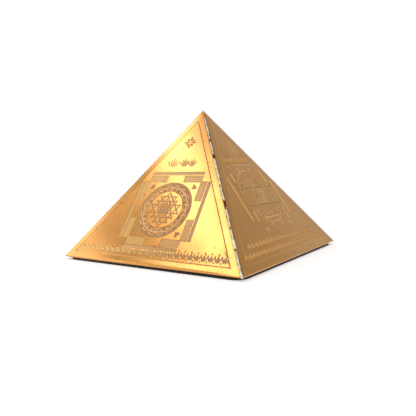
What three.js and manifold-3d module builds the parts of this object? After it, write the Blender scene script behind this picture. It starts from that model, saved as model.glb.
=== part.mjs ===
// Vastu pyramid: a hollow square pyramid of four thin gold-lacquered copper sheets.
// Each sheet carries an etched or struck yantra and a folded lip along its foot.
// Solder joins the sheets along the four corners and caps the tip, a board lies on the
// lips inside, and a dark pad under them stands the pyramid clear of the table.
// Millimetres, +Z up, origin on the table under the tip.
import * as THREE from 'three';
import { mergeVertices } from 'three/addons/utils/BufferGeometryUtils.js';
import loadManifold from 'manifold-3d';

const wasm = await loadManifold();
wasm.setup();

// Overall form
const baseSide = 100;
const sheetRise = 70.4;
const sheetThickness = 0.5;
const lipWidth = 6;

// Pad and board
const padThickness = 1.3;
const padInset = 1.2;
const padCornerRadius = 6;
const boardThickness = 3;

// Solder along the corners and on the tip
const seamWidth = 1;
const seamClearance = 0.3;
const seamCrown = 0.22;
const filletReach = 2;
const filletThroat = 1.1;
const filletTopDrop = 9;
const tipHeight = 2.6;
const tipRadius = 0.45;

// Border line that runs round every sheet
const borderInset = 3.5;
const borderLineWidth = 0.55;
const markDepth = 0.2;

// Square enclosure of the etched yantra: solid rails with a door in each side
const etchedCentreHeight = 28.2;
const etchedInnerHalf = 14.4;
const railStart = 14.6;
const railWidth = 1.45;
const railSplit = 0.3;
const gateBarStart = 18.4;
const gateBarWidth = 1.7;
const gateBarHalfLength = 14.8;
const doorHalfWidth = 4.7;
const cornerBudDistance = 12.1;
const cornerBudSize = 2.4;

// Lotus and circles of the etched yantra
const lotusRadius = 14.2;
const circleLineWidth = 0.4;
const outerPetalInner = 11.4;
const outerPetalOuter = 13.3;
const outerPetalCount = 16;
const innerPetalInner = 9.9;
const innerPetalOuter = 11.3;
const innerPetalCount = 8;
const figureRadius = 9.4;
const figureLineWidth = 0.34;
const innerStarRadius = 2;
const lineOverlap = 0.1;

// Struck yantra of the side sheets: open enclosure, eight petals and a six-pointed star
const struckCentreHeight = 33.6;
const struckRailHalf = 14;
const struckRailWidth = 1;
const struckGateReach = 18.6;
const struckGateHalfLength = 9;
const struckDoorHalfWidth = 4.9;
const struckRingRadius = 10.6;
const struckPetalInner = 10.8;
const struckPetalOuter = 13;
const starRadius = 10;
const starLineWidth = 0.6;
const starRowCount = 6;
const starRowHalfLength = 3.4;
const starRowWidth = 0.5;

// Rows of plain ornament: a long band at the foot and short groups above the yantra
const bandMotifHeight = 2.6;
const bandMotifWidth = 1.6;
const etchedBandHeight = 6.6;
const etchedBandPitch = 3.6;
const struckBandHeights = [6.4, 11.7];
const struckBandPitch = 4.5;
const titleHeight = 54.4;
const titleCount = 5;
const titlePitch = 3.2;
const crestHeight = 63.5;
const crestSize = 3.2;

// Fineness of curves: a circle has twice its number of segments, a petal's side its own
const circleSegments = 24;
const petalSegments = 4;
const cornerSegments = 8;
const crownSegments = 6;

// One overrun serves every cut
const cutOverrun = 1;

// Derived sizes of the form
const halfBase = baseSide / 2;
const slopeAngle = Math.atan2(sheetRise, halfBase);
const slantHeight = Math.hypot(sheetRise, halfBase);
const tipZ = padThickness + sheetRise;
const sheetTopZ = tipZ - tipHeight;
const mitreOffset = seamWidth / 2 + seamClearance;
const sheetRun = sheetThickness / Math.sin(slopeAngle);
// Half the angle between two neighbouring sheets, seen along their corner
const halfCornerAngle = Math.acos(Math.sin(slopeAngle) / Math.SQRT2);

// Colours
const goldCopper = { color: 0xd9a45c, roughness: 0.32, metalness: 1 };
const tinSolder = { color: 0xd2cbb4, roughness: 0.35, metalness: 1 };
const fibreBoard = { color: 0x8a6746, roughness: 0.85, metalness: 0 };
const darkFelt = { color: 0x15130f, roughness: 0.95, metalness: 0 };

// Solids and geometries

function solidOf(geometry) {
  geometry.deleteAttribute('normal');
  geometry.deleteAttribute('uv');
  const merged = mergeVertices(geometry);
  return new wasm.Manifold(new wasm.Mesh({
    numProp: 3,
    vertProperties: merged.attributes.position.array,
    triVerts: merged.index.array,
  }));
}

function geometryOf(solid) {
  const mesh = solid.getMesh();
  const geometry = new THREE.BufferGeometry();
  geometry.setAttribute('position', new THREE.BufferAttribute(mesh.vertProperties, 3));
  geometry.setIndex(new THREE.BufferAttribute(mesh.triVerts, 1));
  geometry.computeVertexNormals();
  return geometry;
}

function prism(shape, low, high, curveSegments = circleSegments) {
  const geometry = new THREE.ExtrudeGeometry(shape, {
    depth: high - low, bevelEnabled: false, curveSegments,
  });
  return geometry.translate(0, 0, low);
}

function outlineOf(points) {
  return new THREE.Shape(points.map(([x, y]) => new THREE.Vector2(x, y)));
}

// Flat outlines of the marks, drawn on a sheet: x along its foot, y up its slope

function bar(left, low, right, high) {
  return outlineOf([[left, low], [right, low], [right, high], [left, high]]);
}

// A line of one width that runs round a triangle, just inside its three corners
function triangleLine(corners, width) {
  const [a, b, c] = corners.map(([x, y]) => new THREE.Vector2(x, y));
  const sides = [b.distanceTo(c), c.distanceTo(a), a.distanceTo(b)];
  const girth = sides[0] + sides[1] + sides[2];
  const middle = new THREE.Vector2()
    .addScaledVector(a, sides[0] / girth)
    .addScaledVector(b, sides[1] / girth)
    .addScaledVector(c, sides[2] / girth);
  const area = Math.abs(b.clone().sub(a).cross(c.clone().sub(a))) / 2;
  const middleToSide = 2 * area / girth;
  const inner = [a, b, c].map((corner) => corner.clone().lerp(middle, width / middleToSide));
  const shape = new THREE.Shape([a, b, c]);
  shape.holes.push(new THREE.Path(inner.reverse()));
  return shape;
}

function ring(centreY, outerRadius, width) {
  const shape = new THREE.Shape().absarc(0, centreY, outerRadius, 0, 2 * Math.PI);
  shape.holes.push(new THREE.Path().absarc(0, centreY, outerRadius - width, 0, 2 * Math.PI, true));
  return shape;
}

// A pointed petal that stands on a circle round the yantra's centre
function petal(centreY, innerRadius, outerRadius, halfWidth, turn) {
  const place = (radius, side) => new THREE.Vector2(side, radius)
    .rotateAround(new THREE.Vector2(), turn).add(new THREE.Vector2(0, centreY));
  const foot = place(innerRadius, 0);
  const tip = place(outerRadius, 0);
  const middle = (innerRadius + outerRadius) / 2;
  const right = place(middle, 2 * halfWidth);
  const left = place(middle, -2 * halfWidth);
  const shape = new THREE.Shape().moveTo(foot.x, foot.y);
  shape.quadraticCurveTo(right.x, right.y, tip.x, tip.y);
  shape.quadraticCurveTo(left.x, left.y, foot.x, foot.y);
  return shape;
}

function petalRing(centreY, innerRadius, outerRadius, count) {
  const halfWidthShare = 0.4;
  const halfWidth = halfWidthShare * 2 * Math.PI * innerRadius / count;
  return Array.from({ length: count }, (_, i) => (
    petal(centreY, innerRadius, outerRadius, halfWidth, 2 * Math.PI * i / count)
  ));
}

function lozenge(x, y, width, height) {
  return outlineOf([
    [x, y - height / 2], [x + width / 2, y], [x, y + height / 2], [x - width / 2, y],
  ]);
}

// Half the sheet's width at a height up the slope
const sheetHalfWidth = (y) => halfBase * (1 - y / slantHeight);

// A mark turned by quarter turns about the yantra's centre, for the four sides of a square
function quarterTurned(points, centreY, quarter) {
  let turned = points;
  for (let i = 0; i < quarter; i += 1) turned = turned.map(([x, y]) => [-y, x]);
  return outlineOf(turned.map(([x, y]) => [x, y + centreY]));
}

const boxPoints = (left, low, right, high) => [[left, low], [right, low], [right, high], [left, high]];

// The border: one thin line parallel to the three edges
function borderMark() {
  const sideAngle = Math.atan2(slantHeight, halfBase);
  const footHalf = halfBase - borderInset / Math.tan(sideAngle / 2);
  const top = slantHeight - borderInset / Math.cos(sideAngle);
  const corners = [[-footHalf, borderInset], [footHalf, borderInset], [0, top]];
  return triangleLine(corners, borderLineWidth);
}

function bandMarks(y, pitch) {
  const reach = sheetHalfWidth(y) - 2 * borderInset;
  const count = Math.floor(reach / pitch);
  return Array.from({ length: 2 * count + 1 }, (_, i) => (
    lozenge((i - count) * pitch, y, bandMotifWidth, bandMotifHeight)
  ));
}

function titleMarks() {
  const middle = (titleCount - 1) / 2;
  const row = Array.from({ length: titleCount }, (_, i) => (
    lozenge((i - middle) * titlePitch, titleHeight, bandMotifWidth, bandMotifHeight)
  ));
  const crestHalfWidthShare = 0.28;
  const crestSpread = Math.PI / 5;
  const crest = [-1, 0, 1].map((side) => (
    petal(crestHeight, crestSize / 3, crestSize, crestHalfWidthShare * crestSize, side * crestSpread)
  ));
  return [...row, ...crest];
}

// A six-pointed star of two crossed triangle lines
function starLines(centreY, radius, width) {
  return [1, -1].map((way) => {
    const corners = [0, 1, 2].map((i) => {
      const angle = way * Math.PI / 2 + i * 2 * Math.PI / 3;
      return [radius * Math.cos(angle), centreY + radius * Math.sin(angle)];
    });
    return triangleLine(corners, width);
  });
}

// The yantra's two great triangles run from rim to rim. Their bases lie on the third and the
// seventh of nine levels, and a small star fills the space that they leave in the middle.
function triangleFigure(centreY) {
  const levelShares = { third: 17 / 48, seventh: 30 / 48 };
  const great = [[levelShares.third, 1], [levelShares.seventh, 0]].map(([baseShare, tipShare]) => {
    const baseY = centreY + figureRadius * (1 - 2 * baseShare);
    const tipY = centreY + figureRadius * (1 - 2 * tipShare);
    const half = Math.sqrt(figureRadius ** 2 - (baseY - centreY) ** 2);
    return triangleLine([[-half, baseY], [half, baseY], [0, tipY]], figureLineWidth);
  });
  return [...great, ...starLines(centreY, innerStarRadius, figureLineWidth)];
}

// The etched sheets: enclosure with solid rails, circle, two lotus rings, triangle figure
function etchedMarks() {
  const y = etchedCentreHeight;
  const secondRail = railStart + railWidth + railSplit;
  const enclosure = [0, 1, 2, 3].flatMap((quarter) => [
    boxPoints(-etchedInnerHalf, railStart, -doorHalfWidth, railStart + railWidth),
    boxPoints(doorHalfWidth, railStart, etchedInnerHalf, railStart + railWidth),
    boxPoints(-etchedInnerHalf, secondRail, -doorHalfWidth, secondRail + railWidth),
    boxPoints(doorHalfWidth, secondRail, etchedInnerHalf, secondRail + railWidth),
    boxPoints(-gateBarHalfLength, gateBarStart, gateBarHalfLength, gateBarStart + gateBarWidth),
  ].map((points) => quarterTurned(points, y, quarter)));
  const buds = [0, 1, 2, 3].map((quarter) => {
    const turn = Math.PI / 4 + quarter * Math.PI / 2;
    const reach = Math.SQRT2 * cornerBudDistance;
    return petal(y, reach - cornerBudSize / 2, reach + cornerBudSize / 2, cornerBudSize / 4, turn);
  });
  const bindu = new THREE.Shape().absarc(0, y, figureLineWidth, 0, 2 * Math.PI);
  return {
    round: [
      ring(y, lotusRadius, circleLineWidth),
      ring(y, figureRadius + circleLineWidth - lineOverlap, circleLineWidth),
    ],
    fine: [
      ...enclosure, ...buds, bindu,
      ...petalRing(y, outerPetalInner, outerPetalOuter, outerPetalCount),
      ...petalRing(y, innerPetalInner, innerPetalOuter, innerPetalCount),
      ...triangleFigure(y),
      borderMark(), ...bandMarks(etchedBandHeight, etchedBandPitch), ...titleMarks(),
    ],
  };
}

// The struck sheets: open enclosure with gates, eight petals, star and a ladder of bars
function struckMarks() {
  const y = struckCentreHeight;
  const railOuter = struckRailHalf + struckRailWidth;
  const gateOuter = struckGateReach + struckRailWidth;
  const doorOuter = struckDoorHalfWidth + struckRailWidth;
  const enclosure = [0, 1, 2, 3].flatMap((quarter) => [
    boxPoints(-railOuter, struckRailHalf, -struckDoorHalfWidth, railOuter),
    boxPoints(struckDoorHalfWidth, struckRailHalf, railOuter, railOuter),
    boxPoints(-doorOuter, struckRailHalf, -struckDoorHalfWidth, gateOuter),
    boxPoints(struckDoorHalfWidth, struckRailHalf, doorOuter, gateOuter),
    boxPoints(-struckGateHalfLength, struckGateReach, struckGateHalfLength, gateOuter),
  ].map((points) => quarterTurned(points, y, quarter)));
  const rowPitch = starRadius / (starRowCount + 1);
  const rows = Array.from({ length: starRowCount }, (_, i) => {
    const rowY = y + (i - (starRowCount - 1) / 2) * rowPitch;
    return bar(-starRowHalfLength, rowY - starRowWidth / 2, starRowHalfLength, rowY + starRowWidth / 2);
  });
  const bands = struckBandHeights.flatMap((height) => bandMarks(height, struckBandPitch));
  return {
    round: [ring(y, struckRingRadius, circleLineWidth)],
    fine: [
      ...enclosure, ...starLines(y, starRadius, starLineWidth), ...rows,
      ...petalRing(y, struckPetalInner, struckPetalOuter, innerPetalCount),
      borderMark(), ...bands, ...titleMarks(),
    ],
  };
}

// Sheets

// A plane drawn on the front sheet: x along the foot, y up the slope, z outward
const frontPlane = new THREE.Matrix4().makeBasis(
  new THREE.Vector3(1, 0, 0),
  new THREE.Vector3(0, Math.cos(slopeAngle), Math.sin(slopeAngle)),
  new THREE.Vector3(0, -Math.sin(slopeAngle), Math.cos(slopeAngle)),
).setPosition(0, -halfBase, padThickness);

// An upright section across the front sheet: x is the object's y, y its z, depth its x
const crossSection = new THREE.Matrix4().makeBasis(
  new THREE.Vector3(0, 1, 0), new THREE.Vector3(0, 0, 1), new THREE.Vector3(1, 0, 0),
);

function bareSheet() {
  const topY = -(tipZ - sheetTopZ) / Math.tan(slopeAngle);
  const profile = outlineOf([
    [-halfBase, padThickness],
    [-halfBase + lipWidth, padThickness],
    [-halfBase + lipWidth, padThickness + sheetThickness],
    [-halfBase + sheetThickness / Math.tan(slopeAngle) + sheetRun, padThickness + sheetThickness],
    [topY + sheetRun, sheetTopZ],
    [topY, sheetTopZ],
  ]);
  const strip = solidOf(prism(profile, -halfBase, halfBase).applyMatrix4(crossSection));
  // The mitre: two upright planes beside the corners' diagonal planes
  const start = -mitreOffset * Math.SQRT2;
  const reach = halfBase + cutOverrun;
  const wedge = outlineOf([[0, start], [-reach, start - reach], [reach, start - reach]]);
  return strip.intersect(solidOf(prism(wedge, 0, tipZ)));
}

// The marks are joined while they lie flat, then laid on the front sheet
function markSolid({ round, fine }, low, high) {
  const parts = [
    ...round.map((shape) => prism(shape, low, high, circleSegments)),
    ...fine.map((shape) => prism(shape, low, high, petalSegments)),
  ];
  const joined = wasm.Manifold.union(parts.map(solidOf));
  return solidOf(geometryOf(joined).applyMatrix4(frontPlane));
}

function etchedSheet() {
  return bareSheet().subtract(markSolid(etchedMarks(), -markDepth, cutOverrun));
}

function struckSheet() {
  return bareSheet().add(markSolid(struckMarks(), -markDepth, markDepth));
}

// Solder seams: a nose between two sheets with a rounded crown, and a fillet inside

function cornerSeam() {
  const noseHalf = seamWidth / 2;
  const depthAt = (side) => side / Math.tan(halfCornerAngle);
  const wallDepth = sheetThickness / Math.sin(halfCornerAngle);
  const innerDepth = (side) => depthAt(side) + wallDepth + seamClearance / Math.sin(halfCornerAngle);
  const noseDepth = innerDepth(0) + filletThroat / 2;
  const nose = new THREE.Shape().moveTo(-noseHalf, depthAt(noseHalf));
  nose.quadraticCurveTo(0, depthAt(noseHalf) - 2 * seamCrown, noseHalf, depthAt(noseHalf));
  nose.lineTo(noseHalf, noseDepth);
  nose.lineTo(-noseHalf, noseDepth);
  const fillet = outlineOf([
    [0, innerDepth(0)],
    [filletReach, innerDepth(filletReach)],
    [0, innerDepth(0) + filletThroat],
    [-filletReach, innerDepth(filletReach)],
  ]);
  // The corner's line runs from the foot at +X -Y to the tip
  const foot = new THREE.Vector3(halfBase, -halfBase, padThickness);
  const along = new THREE.Vector3(0, 0, tipZ).sub(foot);
  const cornerLength = along.length();
  along.normalize();
  const across = new THREE.Vector3(1, 1, 0).normalize();
  const inward = new THREE.Vector3().crossVectors(along, across);
  const place = new THREE.Matrix4().makeBasis(across, inward, along).setPosition(foot);
  const lengthwise = (shape) => (
    solidOf(prism(shape, -lipWidth, cornerLength, crownSegments).applyMatrix4(place))
  );
  const slab = (low, high) => solidOf(prism(bar(-baseSide, -baseSide, baseSide, baseSide), low, high));
  const boardTopZ = padThickness + sheetThickness + boardThickness;
  return wasm.Manifold.union([
    lengthwise(nose).intersect(slab(padThickness, sheetTopZ)),
    lengthwise(fillet).intersect(slab(boardTopZ + seamClearance, sheetTopZ - filletTopDrop)),
  ]);
}

// The tip: a blob of solder that ends in a small round
function tipCap() {
  const lowZ = sheetTopZ + seamClearance;
  const cornerRadius = (z) => Math.SQRT2 * (tipZ - z) / Math.tan(slopeAngle);
  const roundZ = tipZ - 2 * tipRadius;
  const profile = [
    new THREE.Vector2(0, lowZ),
    new THREE.Vector2(cornerRadius(lowZ), lowZ),
    new THREE.Vector2(cornerRadius(roundZ), roundZ),
    new THREE.Vector2(cornerRadius(roundZ) / 2, tipZ - tipRadius),
    new THREE.Vector2(0, tipZ - tipRadius / 2),
  ];
  return new THREE.LatheGeometry(profile, 4, Math.PI / 4).rotateX(Math.PI / 2);
}

// Board and pad

function boardGeometry() {
  const topRise = sheetThickness + boardThickness;
  const half = halfBase - topRise / Math.tan(slopeAngle) - sheetRun - seamClearance;
  const cornerCut = filletReach + sheetThickness;
  const shape = outlineOf([
    [-half + cornerCut, -half], [half - cornerCut, -half],
    [half, -half + cornerCut], [half, half - cornerCut],
    [half - cornerCut, half], [-half + cornerCut, half],
    [-half, half - cornerCut], [-half, -half + cornerCut],
  ]);
  const lowZ = padThickness + sheetThickness;
  return prism(shape, lowZ, lowZ + boardThickness);
}

function padGeometry() {
  const half = halfBase - padInset;
  const inner = half - padCornerRadius;
  const shape = new THREE.Shape();
  [[1, -1], [1, 1], [-1, 1], [-1, -1]].forEach(([x, y], i) => {
    const startAngle = (i - 1) * Math.PI / 2;
    shape.absarc(x * inner, y * inner, padCornerRadius, startAngle, startAngle + Math.PI / 2);
  });
  return prism(shape, 0, padThickness, cornerSegments);
}

// The assembly

function named(name, geometry, finish, turn = 0) {
  const mesh = new THREE.Mesh(geometry, new THREE.MeshStandardMaterial(finish));
  mesh.name = name;
  mesh.rotation.z = turn;
  return mesh;
}

const quarterTurn = Math.PI / 2;
const etched = geometryOf(etchedSheet());
const struck = geometryOf(struckSheet());
const seam = geometryOf(cornerSeam());

const sheets = new THREE.Group();
sheets.add(named('front_sheet', etched, goldCopper));
sheets.add(named('right_sheet', struck, goldCopper, quarterTurn));
sheets.add(named('back_sheet', etched, goldCopper, 2 * quarterTurn));
sheets.add(named('left_sheet', struck, goldCopper, 3 * quarterTurn));

const solder = new THREE.Group();
['front_right_seam', 'back_right_seam', 'back_left_seam', 'front_left_seam'].forEach((name, i) => {
  solder.add(named(name, seam, tinSolder, i * quarterTurn));
});
solder.add(named('tip_cap', tipCap(), tinSolder));

const foot = new THREE.Group();
foot.add(named('base_board', boardGeometry(), fibreBoard));
foot.add(named('base_pad', padGeometry(), darkFelt));

const pyramid = new THREE.Group();
pyramid.add(sheets, solder, foot);

export default pyramid;
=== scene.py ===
import math

import bpy
import numpy as np
from mathutils import Matrix, Vector
from mathutils.geometry import delaunay_2d_cdt


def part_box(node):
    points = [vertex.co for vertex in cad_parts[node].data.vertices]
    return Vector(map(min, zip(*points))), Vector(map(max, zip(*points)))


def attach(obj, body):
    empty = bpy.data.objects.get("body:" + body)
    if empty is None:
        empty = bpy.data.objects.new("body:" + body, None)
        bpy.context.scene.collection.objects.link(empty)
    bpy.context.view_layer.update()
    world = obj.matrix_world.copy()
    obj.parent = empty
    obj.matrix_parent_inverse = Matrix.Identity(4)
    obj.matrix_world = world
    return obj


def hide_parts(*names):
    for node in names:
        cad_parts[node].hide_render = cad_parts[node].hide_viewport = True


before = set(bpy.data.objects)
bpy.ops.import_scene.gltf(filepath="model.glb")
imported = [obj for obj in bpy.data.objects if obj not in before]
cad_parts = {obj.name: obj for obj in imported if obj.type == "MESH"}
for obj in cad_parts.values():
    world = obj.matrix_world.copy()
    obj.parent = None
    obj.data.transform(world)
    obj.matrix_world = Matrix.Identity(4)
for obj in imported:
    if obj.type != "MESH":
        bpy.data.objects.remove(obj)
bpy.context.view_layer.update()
print("frame loaded:", len(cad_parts), "nodes")

mm = 0.001

# The build that all the pieces share, in millimetres
build = {
    "halfBase": 50.0,
    "rise": 70.4,
    "padHeight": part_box("base_pad")[1].z / mm,
    "wall": 0.35,  # thickness of the copper
    "mitre": 0.55,  # from a sheet's side to the corner's middle plane
    "slack": 0.01,  # by which a place may miss a limit that it is tested against
    "aligned": 0.9,  # the cosine from which a direction counts as lying along another
}
halfBase, padHeight = build["halfBase"], build["padHeight"]
slope = math.atan2(build["rise"], halfBase)
slantHeight = math.hypot(build["rise"], halfBase)
tipHeight = padHeight + build["rise"]
footCorner = Vector((halfBase, -halfBase, padHeight))
cornerLine = (Vector((0, 0, tipHeight)) - footCorner).normalized()
cornerAcross = Vector((1, 1, 0)).normalized()
cornerInward = cornerLine.cross(cornerAcross)
sideLean = math.atan2(slantHeight, halfBase)  # of a sheet's slanted sides


# Small helpers


def clearSelection():
    if bpy.context.object and bpy.context.object.mode != "OBJECT":
        bpy.ops.object.mode_set(mode="OBJECT")
    bpy.ops.object.select_all(action="DESELECT")


def makeActive(piece):
    clearSelection()
    piece.select_set(True)
    bpy.context.view_layer.objects.active = piece
    return piece


def pick(piece, kind, wanted):
    # Opens edit mode with the faces or edges selected that wanted() says yes to
    makeActive(piece)
    bpy.ops.object.mode_set(mode="EDIT")
    bpy.ops.mesh.select_mode(type=kind)
    bpy.ops.mesh.select_all(action="DESELECT")
    bpy.ops.object.mode_set(mode="OBJECT")
    points = piece.data.vertices
    if kind == "FACE":
        for face in piece.data.polygons:
            face.select = bool(wanted(face.center, face.normal))
    else:
        for edge in piece.data.edges:
            edge.select = bool(wanted(*(points[i].co for i in edge.vertices)))
    bpy.ops.object.mode_set(mode="EDIT")


def closeEdit():
    bpy.ops.object.mode_set(mode="OBJECT")


def editPicked(piece, kind, wanted, operator, **settings):
    pick(piece, kind, wanted)
    operator(**settings)
    closeEdit()


def everything(middle, normal):
    return True


def applyModifiers(piece):
    makeActive(piece)
    for modifier in list(piece.modifiers):
        bpy.ops.object.modifier_apply(modifier=modifier.name)


def outward(piece):
    editPicked(piece, "FACE", everything, bpy.ops.mesh.normals_make_consistent, inside=False)


def applyPlace(piece):
    makeActive(piece)
    bpy.ops.object.transform_apply(location=True, rotation=True, scale=True)


def turnQuarters(piece, count):
    piece.rotation_euler = (0, 0, count * math.pi / 2)
    applyPlace(piece)
    return piece


def makeNamed(name, operator, **settings):
    # The operator adds an object, which becomes the active one
    operator(**settings)
    piece = bpy.context.object
    piece.name = piece.data.name = name
    return piece


def turnedCopy(piece, name, quarterTurns):
    makeActive(piece)
    return turnQuarters(makeNamed(name, bpy.ops.object.duplicate, linked=False), quarterTurns)


def linkNew(name, data):
    piece = bpy.data.objects.new(name, data)
    bpy.context.scene.collection.objects.link(piece)
    return piece


def addLayer(piece, name, values):
    piece.data.attributes.new(name, "FLOAT", "POINT").data.foreach_set("value", values)


def smoothBelow(degrees):
    bpy.ops.object.shade_smooth_by_angle(angle=math.radians(degrees))


def finishPiece(piece, nodeName, material):
    piece.data.materials.clear()
    piece.data.materials.append(material)
    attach(piece, "root")
    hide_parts(nodeName)


def linear(red, green, blue):
    # A colour as it is read off a screen, 0 to 255, made linear
    def channel(value):
        share = value / 255
        return share / 12.92 if share <= 0.04045 else ((share + 0.055) / 1.055) ** 2.4
    return (channel(red), channel(green), channel(blue), 1.0)


# Marks on a sheet. They are drawn flat in millimetres, x along the foot and y up the slope.
# A shape is two functions: how deep a point lies inside it, and its outline at an inset.

markLook = {
    "discSteps": 12,
    "dotSteps": 8,
    "ringSteps": 96,
    "arcSteps": 5,
    "flatFrom": 2.4,  # a line wider than this many bevels has a flat floor
    "borderPitch": 4.0,
}


def polygonShape(corners):
    corners = np.array(corners, float)
    sides = np.roll(corners, -1, axis=0) - corners
    normals = np.stack([-sides[:, 1], sides[:, 0]], 1) / np.linalg.norm(sides, axis=1)[:, None]
    reach = (normals * corners).sum(1)

    def outlineAt(inset):
        pairs = np.stack([np.roll(normals, 1, axis=0), normals], 1)
        limits = np.stack([np.roll(reach, 1), reach], 1) + inset
        return np.linalg.solve(pairs, limits[:, :, None])[:, :, 0]

    return (lambda points: (points @ normals.T - reach).min(1)), outlineAt


def boxShape(left, low, right, high, quarter=0, centre=(0, 0)):
    corners = [(left, low), (right, low), (right, high), (left, high)]
    for _ in range(quarter):
        corners = [(-y, x) for x, y in corners]
    return polygonShape([(x + centre[0], y + centre[1]) for x, y in corners])


def discShape(x, y, radius, steps=markLook["discSteps"]):
    angles = np.arange(steps) * 2 * np.pi / steps
    around = np.stack([np.cos(angles), np.sin(angles)], 1)
    centre = np.array([x, y])
    return ((lambda points: radius - np.linalg.norm(points - centre, axis=1)),
            (lambda inset: centre + around * (radius - inset)))


def turnedAxes(turn):
    # Where a leaf of that turn points, and the direction across it
    return np.array([-math.sin(turn), math.cos(turn)]), np.array([math.cos(turn), math.sin(turn)])


def leafShape(x, y, length, width, turn):
    # A pointed leaf between two arcs; at turn 0 it stands upright
    half, side = length / 2, width / 2
    radius = (half ** 2 + side ** 2) / (2 * side)
    offset = radius - side
    axis, across = turnedAxes(turn)
    middle = np.array([x, y])
    centres = [middle - across * offset, middle + across * offset]

    def depthAt(points):
        return radius - np.maximum(*(np.linalg.norm(points - c, axis=1) for c in centres))

    def outlineAt(inset):
        inner = radius - inset
        reach = math.acos(min(1.0, offset / inner))
        angles = np.linspace(-reach, reach, markLook["arcSteps"] + 1)[:-1, None]
        arc = np.cos(angles) * across * inner + np.sin(angles) * axis * inner
        return np.concatenate([centres[0] + arc, centres[1] - arc])

    return depthAt, outlineAt


def archShape(foot, width, height, centre, turn):
    # A lotus petal: two arcs that rise from a flat foot and meet in a point
    half = width / 2
    radius = (height ** 2 + half ** 2) / width
    offset = radius - half
    axis, across = turnedAxes(turn)
    middle = np.array(centre) + axis * foot

    def depthAt(points):
        x, y = (points - middle) @ across, (points - middle) @ axis
        arcs = radius - np.hypot(np.abs(x) + offset, y)
        return np.minimum(arcs, y)

    def outlineAt(inset):
        inner = radius - inset
        ends = math.asin(inset / inner), math.acos(offset / inner)
        angles = np.linspace(*ends, markLook["arcSteps"] + 1)[:, None]
        x, y = np.cos(angles) * inner - offset, np.sin(angles) * inner
        right = x * across + y * axis
        left = (-x * across + y * axis)[::-1][1:]
        return middle + np.concatenate([right, left])

    return depthAt, outlineAt


def mark(shape, level=1.0, line=0.0):
    # level 1 is fully etched or struck, up to 2 also darkened, 0 goes back to the field; on a struck
    # sheet a level above 0 also paints highlight and one below 0 paints shade;
    # line is a width, 0 fills
    return {"depthAt": shape[0], "outlineAt": shape[1], "level": level, "line": line}


def markInsets(item, bevel, hold):
    line = item["line"]
    if not line:
        insets = [0, bevel]
    elif line > markLook["flatFrom"] * bevel:
        insets = [0, bevel, line - bevel, line]
    else:
        insets = [0, line / 2, line]
    return ([-hold] if hold else []) + insets + ([line + hold] if hold and line else [])


def markDepth(item, points):
    depth = item["depthAt"](points)
    return np.minimum(depth, item["line"] - depth) if item["line"] else depth


def paintMarks(marks, points, bevel):
    level = np.zeros(len(points))
    for item in marks:
        share = np.clip(markDepth(item, points) / bevel, 0, 1)
        level += (item["level"] - level) * share
    return level


def turned(centre, reach, turn):
    # The place that far from the centre, where a leaf of that turn points
    return centre[0] - math.sin(turn) * reach, centre[1] + math.cos(turn) * reach


def ringMark(centre, radius, width, level=1.0, steps=markLook["ringSteps"]):
    return mark(discShape(*centre, radius, steps), level, width)


def borderMark(inset, width, level):
    # A line parallel to the sheet's three sides
    sheet = polygonShape([(-halfBase, 0), (halfBase, 0), (0, slantHeight)])
    depthAt, cornersAt = polygonShape(sheet[1](inset))

    def outlineAt(inner):
        return edgePoints(cornersAt(inner).tolist(), markLook["borderPitch"])
    return mark((depthAt, outlineAt), level, width)


def leftLine(inset, width, low, high):
    # A thin line beside the left slanted side only
    def sideX(y, depth):
        return depth / math.sin(sideLean) - halfBase * (1 - y / slantHeight)
    return mark(polygonShape([(sideX(low, inset), low), (sideX(low, inset + width), low),
                              (sideX(high, inset + width), high), (sideX(high, inset), high)]))


palmetteLook = {
    "leaves": 5,
    "fan": 0.6,  # lean of the outer leaves, in radians
    "shorter": 0.25,  # by this share the outer leaves are shorter
    # Shares of the palmette's height
    "leafWidth": 0.16,
    "narrower": 0.3,
    "lift": 0.05,
}


def palmette(x, foot, width, height, level):
    # Lotus leaves that fan out from one foot, the middle one the tallest
    look = palmetteLook
    marks = []
    for i in range(look["leaves"]):
        side = 2 * i / (look["leaves"] - 1) - 1
        turn = -look["fan"] * side
        length = height * (1 - look["shorter"] * abs(side))
        middleX = x + 0.5 * side * (width - look["narrower"] * height)
        middleY = foot + 0.5 * length * math.cos(turn) + look["lift"] * height
        leaf = leafShape(middleX, middleY, length, look["leafWidth"] * height, turn)
        marks.append(mark(leaf, level))
    return marks


# Shares of a bud's size, and sideways of the row's pitch
budLook = {
    "short": 0.84,  # length of every second bud
    "bud": (0.04, 0.9, 0.34),  # rise, length, width
    "sideLeaf": (0.26, -0.12, 0.74, 0.26),  # sideways, rise, length, width
    "sideLean": 0.5,
    "topDot": (0.48, 0.12, 0.13),  # rise, what the bud's length adds to it, radius
    "lozenge": (0.26, 0.46, 0.25),  # rise, length, width
    "lowDot": (-0.4, 0.12),  # rise, radius
}


def flowerRow(height, pitch, size, reach, lowLevel=1.0, highLevel=1.0, dense=True):
    # A row of lotus buds, each with two side leaves, and if dense a dot above and a lozenge
    # between. It goes from the low level at the left to the high one at the right.
    marks = []
    count = int(reach / pitch)

    def add(shape, level):
        marks.append(mark(shape, level))

    def dot(x, rise, radius):
        return discShape(x, height + rise * size, radius * size, markLook["dotSteps"])

    def leaf(x, rise, length, width, turn=0):
        return leafShape(x, height + rise * size, length * size, width * size, turn)

    for i in range(-count, count + 1):
        x = i * pitch
        level = lowLevel + (highLevel - lowLevel) * (i + count) / (2 * count)
        tall = 1.0 if i % 2 else budLook["short"]
        rise, length, width = budLook["bud"]
        add(leaf(x, rise, length * tall, width), level)
        sideways, *sizes = budLook["sideLeaf"]
        for side in (-1, 1):
            add(leaf(x + side * sideways * pitch, *sizes, -side * budLook["sideLean"]), level)
        if dense:
            rise, more, radius = budLook["topDot"]
            add(dot(x, rise + more * tall, radius), level)
        if dense and i < count:
            add(leaf(x + 0.5 * pitch, *budLook["lozenge"]), level)
            add(dot(x + 0.5 * pitch, *budLook["lowDot"]), level)
    return marks


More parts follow.
